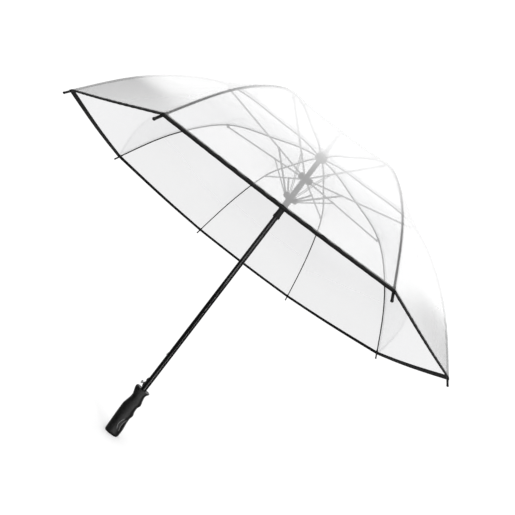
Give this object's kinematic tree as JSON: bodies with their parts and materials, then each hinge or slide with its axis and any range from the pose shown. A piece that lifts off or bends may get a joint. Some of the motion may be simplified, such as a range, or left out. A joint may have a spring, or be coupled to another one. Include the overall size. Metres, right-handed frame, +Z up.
{
  "type": "clear dome umbrella",
  "caption": "Large clear dome umbrella, shown open, with a folding ribbed frame on a sliding two-hub linkage, black edge tape, straight moulded grip and a push-button release.",
  "frame": {"origin": "middle of the flat end of the handle, on the shaft axis", "axes": "+Z up the shaft towards the ferrule; -X is the side of the thumb horn, catch and push button; ribs at 22.5 + 45 k degrees from +X"},
  "size_m": [1.127, 1.127, 1.056],
  "materials": {
    "shaft_paint": "gloss black enamel",
    "grip_rubber": "soft matt black",
    "hub_plastic": "satin black",
    "button_grey": "satin grey",
    "steel": "bright spring wire",
    "rib_rod": "black resin-bonded glass rod with moulded black tips",
    "linkage": "black coated steel strip",
    "film": "clear flexible plastic film",
    "binding_tape": "woven black edge tape"
  },
  "bodies": {
    "shaft": {"shaft_tube": "shaft_paint", "handle_grip": "grip_rubber", "grip_end_cap": "hub_plastic", "catch_bracket": "hub_plastic", "lever_pin": "steel", "stop_pin": "steel", "top_notch": "hub_plastic", "top_notch_ring": "steel", "top_cap": "hub_plastic", "ferrule": "hub_plastic", "rim_binding": "binding_tape", "canopy_panel_1": "film", "canopy_panel_2": "film", "canopy_panel_3": "film", "canopy_panel_4": "film", "canopy_panel_5": "film", "canopy_panel_6": "film", "canopy_panel_7": "film", "canopy_panel_8": "film"},
    "runner": {"runner": "hub_plastic", "runner_collar": "hub_plastic"},
    "middle_notch": {"middle_notch": "hub_plastic", "main_spring": "steel"},
    "push_button": {"push_button": "button_grey"},
    "catch_lever": {"catch_lever": "steel"},
    "rib_inner_1": {"rib_inner_1": "rib_rod"},
    "rib_outer_1": {"rib_outer_1": "rib_rod"},
    "stretcher_1": {"stretcher_1": "linkage"},
    "link_1": {"link_1": "linkage"},
    "rib_inner_2": {"rib_inner_2": "rib_rod"},
    "rib_outer_2": {"rib_outer_2": "rib_rod"},
    "stretcher_2": {"stretcher_2": "linkage"},
    "link_2": {"link_2": "linkage"},
    "rib_inner_3": {"rib_inner_3": "rib_rod"},
    "rib_outer_3": {"rib_outer_3": "rib_rod"},
    "stretcher_3": {"stretcher_3": "linkage"},
    "link_3": {"link_3": "linkage"},
    "rib_inner_4": {"rib_inner_4": "rib_rod"},
    "rib_outer_4": {"rib_outer_4": "rib_rod"},
    "stretcher_4": {"stretcher_4": "linkage"},
    "link_4": {"link_4": "linkage"},
    "rib_inner_5": {"rib_inner_5": "rib_rod"},
    "rib_outer_5": {"rib_outer_5": "rib_rod"},
    "stretcher_5": {"stretcher_5": "linkage"},
    "link_5": {"link_5": "linkage"},
    "rib_inner_6": {"rib_inner_6": "rib_rod"},
    "rib_outer_6": {"rib_outer_6": "rib_rod"},
    "stretcher_6": {"stretcher_6": "linkage"},
    "link_6": {"link_6": "linkage"},
    "rib_inner_7": {"rib_inner_7": "rib_rod"},
    "rib_outer_7": {"rib_outer_7": "rib_rod"},
    "stretcher_7": {"stretcher_7": "linkage"},
    "link_7": {"link_7": "linkage"},
    "rib_inner_8": {"rib_inner_8": "rib_rod"},
    "rib_outer_8": {"rib_outer_8": "rib_rod"},
    "stretcher_8": {"stretcher_8": "linkage"},
    "link_8": {"link_8": "linkage"}
  },
  "joints": [
    {"name": "runner_slide", "type": "slide", "parent": "shaft", "child": "runner", "axis": [0, 0, -1], "range_m": [0, 0.50743], "deforming": ["main_spring", "rim_binding", "canopy_panel_1", "canopy_panel_2", "canopy_panel_3", "canopy_panel_4", "canopy_panel_5", "canopy_panel_6", "canopy_panel_7", "canopy_panel_8"]},
    {"name": "middle_notch_slide", "type": "slide", "parent": "shaft", "child": "middle_notch", "axis": [0, 0, -1], "range_m": [0, 0.55254]},
    {"name": "button_push", "type": "slide", "parent": "shaft", "child": "push_button", "axis": [1, 0, 0], "range_m": [0, 0.0025], "stiffness_N_per_m": 800},
    {"name": "catch_tilt", "type": "hinge", "parent": "shaft", "child": "catch_lever", "pos_m": [-0.0042, 0, 0.105], "axis": [0, 1, 0], "range_deg": [0, 3.11]},
    {"name": "rib_fold_1", "type": "hinge", "parent": "shaft", "child": "rib_inner_1", "pos_m": [0.01386, 0.00574, 0.967], "axis": [-0.3827, 0.9239, 0], "range_deg": [0, 79.23]},
    {"name": "rib_flex_1", "type": "hinge", "parent": "rib_inner_1", "child": "rib_outer_1", "pos_m": [0.3117, 0.12911, 0.91734], "axis": [-0.3827, 0.9239, 0], "range_deg": [-38.55, 0]},
    {"name": "stretcher_pivot_1", "type": "hinge", "parent": "rib_inner_1", "child": "stretcher_1", "pos_m": [0.3058, 0.12667, 0.913], "axis": [-0.3827, 0.9239, 0], "range_deg": [-164.62, 0]},
    {"name": "link_pivot_1", "type": "hinge", "parent": "stretcher_1", "child": "link_1", "pos_m": [0.11248, 0.04659, 0.89612], "axis": [-0.3827, 0.9239, 0], "range_deg": [0, 34.58]},
    {"name": "rib_fold_2", "type": "hinge", "parent": "shaft", "child": "rib_inner_2", "pos_m": [0.00574, 0.01386, 0.967], "axis": [-0.9239, 0.3827, 0], "range_deg": [0, 79.23]},
    {"name": "rib_flex_2", "type": "hinge", "parent": "rib_inner_2", "child": "rib_outer_2", "pos_m": [0.12911, 0.3117, 0.91734], "axis": [-0.9239, 0.3827, 0], "range_deg": [-38.55, 0]},
    {"name": "stretcher_pivot_2", "type": "hinge", "parent": "rib_inner_2", "child": "stretcher_2", "pos_m": [0.12667, 0.3058, 0.913], "axis": [-0.9239, 0.3827, 0], "range_deg": [-164.62, 0]},
    {"name": "link_pivot_2", "type": "hinge", "parent": "stretcher_2", "child": "link_2", "pos_m": [0.04659, 0.11248, 0.89612], "axis": [-0.9239, 0.3827, 0], "range_deg": [0, 34.58]},
    {"name": "rib_fold_3", "type": "hinge", "parent": "shaft", "child": "rib_inner_3", "pos_m": [-0.00574, 0.01386, 0.967], "axis": [-0.9239, -0.3827, 0], "range_deg": [0, 79.23]},
    {"name": "rib_flex_3", "type": "hinge", "parent": "rib_inner_3", "child": "rib_outer_3", "pos_m": [-0.12911, 0.3117, 0.91734], "axis": [-0.9239, -0.3827, 0], "range_deg": [-38.55, 0]},
    {"name": "stretcher_pivot_3", "type": "hinge", "parent": "rib_inner_3", "child": "stretcher_3", "pos_m": [-0.12667, 0.3058, 0.913], "axis": [-0.9239, -0.3827, 0], "range_deg": [-164.62, 0]},
    {"name": "link_pivot_3", "type": "hinge", "parent": "stretcher_3", "child": "link_3", "pos_m": [-0.04659, 0.11248, 0.89612], "axis": [-0.9239, -0.3827, 0], "range_deg": [0, 34.58]},
    {"name": "rib_fold_4", "type": "hinge", "parent": "shaft", "child": "rib_inner_4", "pos_m": [-0.01386, 0.00574, 0.967], "axis": [-0.3827, -0.9239, 0], "range_deg": [0, 79.23]},
    {"name": "rib_flex_4", "type": "hinge", "parent": "rib_inner_4", "child": "rib_outer_4", "pos_m": [-0.3117, 0.12911, 0.91734], "axis": [-0.3827, -0.9239, 0], "range_deg": [-38.55, 0]},
    {"name": "stretcher_pivot_4", "type": "hinge", "parent": "rib_inner_4", "child": "stretcher_4", "pos_m": [-0.3058, 0.12667, 0.913], "axis": [-0.3827, -0.9239, 0], "range_deg": [-164.62, 0]},
    {"name": "link_pivot_4", "type": "hinge", "parent": "stretcher_4", "child": "link_4", "pos_m": [-0.11248, 0.04659, 0.89612], "axis": [-0.3827, -0.9239, 0], "range_deg": [0, 34.58]},
    {"name": "rib_fold_5", "type": "hinge", "parent": "shaft", "child": "rib_inner_5", "pos_m": [-0.01386, -0.00574, 0.967], "axis": [0.3827, -0.9239, 0], "range_deg": [0, 79.23]},
    {"name": "rib_flex_5", "type": "hinge", "parent": "rib_inner_5", "child": "rib_outer_5", "pos_m": [-0.3117, -0.12911, 0.91734], "axis": [0.3827, -0.9239, 0], "range_deg": [-38.55, 0]},
    {"name": "stretcher_pivot_5", "type": "hinge", "parent": "rib_inner_5", "child": "stretcher_5", "pos_m": [-0.3058, -0.12667, 0.913], "axis": [0.3827, -0.9239, 0], "range_deg": [-164.62, 0]},
    {"name": "link_pivot_5", "type": "hinge", "parent": "stretcher_5", "child": "link_5", "pos_m": [-0.11248, -0.04659, 0.89612], "axis": [0.3827, -0.9239, 0], "range_deg": [0, 34.58]},
    {"name": "rib_fold_6", "type": "hinge", "parent": "shaft", "child": "rib_inner_6", "pos_m": [-0.00574, -0.01386, 0.967], "axis": [0.9239, -0.3827, 0], "range_deg": [0, 79.23]},
    {"name": "rib_flex_6", "type": "hinge", "parent": "rib_inner_6", "child": "rib_outer_6", "pos_m": [-0.12911, -0.3117, 0.91734], "axis": [0.9239, -0.3827, 0], "range_deg": [-38.55, 0]},
    {"name": "stretcher_pivot_6", "type": "hinge", "parent": "rib_inner_6", "child": "stretcher_6", "pos_m": [-0.12667, -0.3058, 0.913], "axis": [0.9239, -0.3827, 0], "range_deg": [-164.62, 0]},
    {"name": "link_pivot_6", "type": "hinge", "parent": "stretcher_6", "child": "link_6", "pos_m": [-0.04659, -0.11248, 0.89612], "axis": [0.9239, -0.3827, 0], "range_deg": [0, 34.58]},
    {"name": "rib_fold_7", "type": "hinge", "parent": "shaft", "child": "rib_inner_7", "pos_m": [0.00574, -0.01386, 0.967], "axis": [0.9239, 0.3827, 0], "range_deg": [0, 79.23]},
    {"name": "rib_flex_7", "type": "hinge", "parent": "rib_inner_7", "child": "rib_outer_7", "pos_m": [0.12911, -0.3117, 0.91734], "axis": [0.9239, 0.3827, 0], "range_deg": [-38.55, 0]},
    {"name": "stretcher_pivot_7", "type": "hinge", "parent": "rib_inner_7", "child": "stretcher_7", "pos_m": [0.12667, -0.3058, 0.913], "axis": [0.9239, 0.3827, 0], "range_deg": [-164.62, 0]},
    {"name": "link_pivot_7", "type": "hinge", "parent": "stretcher_7", "child": "link_7", "pos_m": [0.04659, -0.11248, 0.89612], "axis": [0.9239, 0.3827, 0], "range_deg": [0, 34.58]},
    {"name": "rib_fold_8", "type": "hinge", "parent": "shaft", "child": "rib_inner_8", "pos_m": [0.01386, -0.00574, 0.967], "axis": [0.3827, 0.9239, 0], "range_deg": [0, 79.23]},
    {"name": "rib_flex_8", "type": "hinge", "parent": "rib_inner_8", "child": "rib_outer_8", "pos_m": [0.3117, -0.12911, 0.91734], "axis": [0.3827, 0.9239, 0], "range_deg": [-38.55, 0]},
    {"name": "stretcher_pivot_8", "type": "hinge", "parent": "rib_inner_8", "child": "stretcher_8", "pos_m": [0.3058, -0.12667, 0.913], "axis": [0.3827, 0.9239, 0], "range_deg": [-164.62, 0]},
    {"name": "link_pivot_8", "type": "hinge", "parent": "stretcher_8", "child": "link_8", "pos_m": [0.11248, -0.04659, 0.89612], "axis": [0.3827, 0.9239, 0], "range_deg": [0, 34.58]}
  ],
  "couplings": [
    {"joint": "middle_notch_slide", "follows": "runner_slide", "ratio": 1.0889},
    {"joint": "catch_tilt", "follows": "button_push", "rad_per_m": 21.739},
    {"joint": "rib_fold_1", "follows": "runner_slide", "rad_per_m": 2.7252},
    {"joint": "rib_flex_1", "follows": "runner_slide", "rad_per_m": -1.3259},
    {"joint": "stretcher_pivot_1", "follows": "runner_slide", "rad_per_m": -5.6622},
    {"joint": "link_pivot_1", "follows": "runner_slide", "rad_per_m": 1.1892},
    {"joint": "rib_fold_2", "follows": "runner_slide", "rad_per_m": 2.7252},
    {"joint": "rib_flex_2", "follows": "runner_slide", "rad_per_m": -1.3259},
    {"joint": "stretcher_pivot_2", "follows": "runner_slide", "rad_per_m": -5.6622},
    {"joint": "link_pivot_2", "follows": "runner_slide", "rad_per_m": 1.1892},
    {"joint": "rib_fold_3", "follows": "runner_slide", "rad_per_m": 2.7252},
    {"joint": "rib_flex_3", "follows": "runner_slide", "rad_per_m": -1.3259},
    {"joint": "stretcher_pivot_3", "follows": "runner_slide", "rad_per_m": -5.6622},
    {"joint": "link_pivot_3", "follows": "runner_slide", "rad_per_m": 1.1892},
    {"joint": "rib_fold_4", "follows": "runner_slide", "rad_per_m": 2.7252},
    {"joint": "rib_flex_4", "follows": "runner_slide", "rad_per_m": -1.3259},
    {"joint": "stretcher_pivot_4", "follows": "runner_slide", "rad_per_m": -5.6622},
    {"joint": "link_pivot_4", "follows": "runner_slide", "rad_per_m": 1.1892},
    {"joint": "rib_fold_5", "follows": "runner_slide", "rad_per_m": 2.7252},
    {"joint": "rib_flex_5", "follows": "runner_slide", "rad_per_m": -1.3259},
    {"joint": "stretcher_pivot_5", "follows": "runner_slide", "rad_per_m": -5.6622},
    {"joint": "link_pivot_5", "follows": "runner_slide", "rad_per_m": 1.1892},
    {"joint": "rib_fold_6", "follows": "runner_slide", "rad_per_m": 2.7252},
    {"joint": "rib_flex_6", "follows": "runner_slide", "rad_per_m": -1.3259},
    {"joint": "stretcher_pivot_6", "follows": "runner_slide", "rad_per_m": -5.6622},
    {"joint": "link_pivot_6", "follows": "runner_slide", "rad_per_m": 1.1892},
    {"joint": "rib_fold_7", "follows": "runner_slide", "rad_per_m": 2.7252},
    {"joint": "rib_flex_7", "follows": "runner_slide", "rad_per_m": -1.3259},
    {"joint": "stretcher_pivot_7", "follows": "runner_slide", "rad_per_m": -5.6622},
    {"joint": "link_pivot_7", "follows": "runner_slide", "rad_per_m": 1.1892},
    {"joint": "rib_fold_8", "follows": "runner_slide", "rad_per_m": 2.7252},
    {"joint": "rib_flex_8", "follows": "runner_slide", "rad_per_m": -1.3259},
    {"joint": "stretcher_pivot_8", "follows": "runner_slide", "rad_per_m": -5.6622},
    {"joint": "link_pivot_8", "follows": "runner_slide", "rad_per_m": 1.1892}
  ]
}
